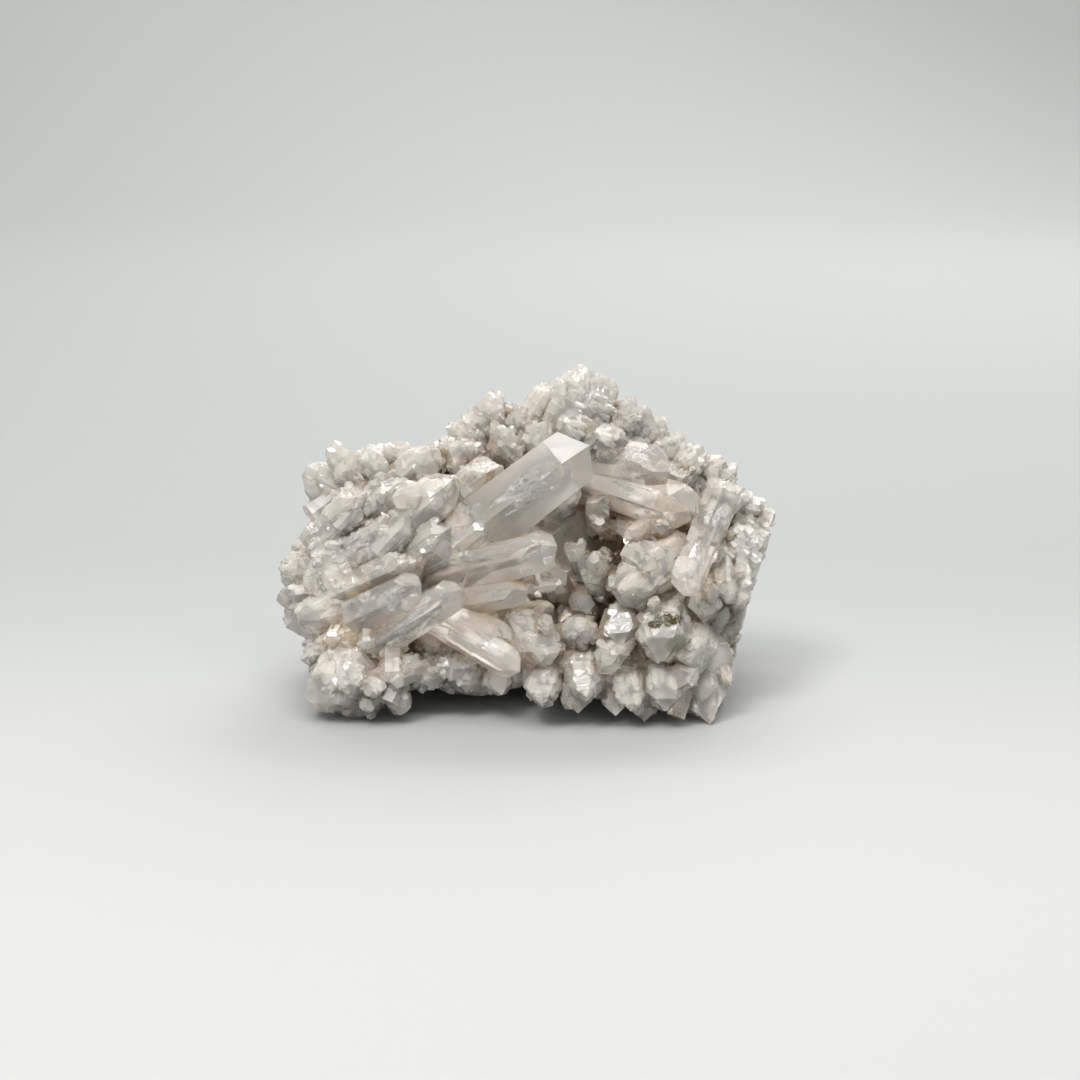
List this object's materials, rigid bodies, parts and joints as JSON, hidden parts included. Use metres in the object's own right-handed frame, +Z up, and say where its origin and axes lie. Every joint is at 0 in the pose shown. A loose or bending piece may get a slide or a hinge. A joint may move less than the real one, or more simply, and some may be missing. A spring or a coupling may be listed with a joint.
{
  "type": "quartz crystal cluster",
  "caption": "Free-standing cluster of clear and milky quartz points grown together on a broken base, with one large crystal leaning up and forward.",
  "frame": {"origin": "under the middle of the cluster, on the surface it rests on", "axes": "+Z up, +X to the right along the width, and the front with the crystal points faces -Y"},
  "size_m": [0.1088, 0.0586, 0.0716],
  "materials": {
    "quartz": "clear to milky quartz with a slight warm tint, bright flat faces, and rough where it is broken"
  },
  "bodies": {
    "root": {"quartz_cluster": "quartz"}
  },
  "joints": []
}
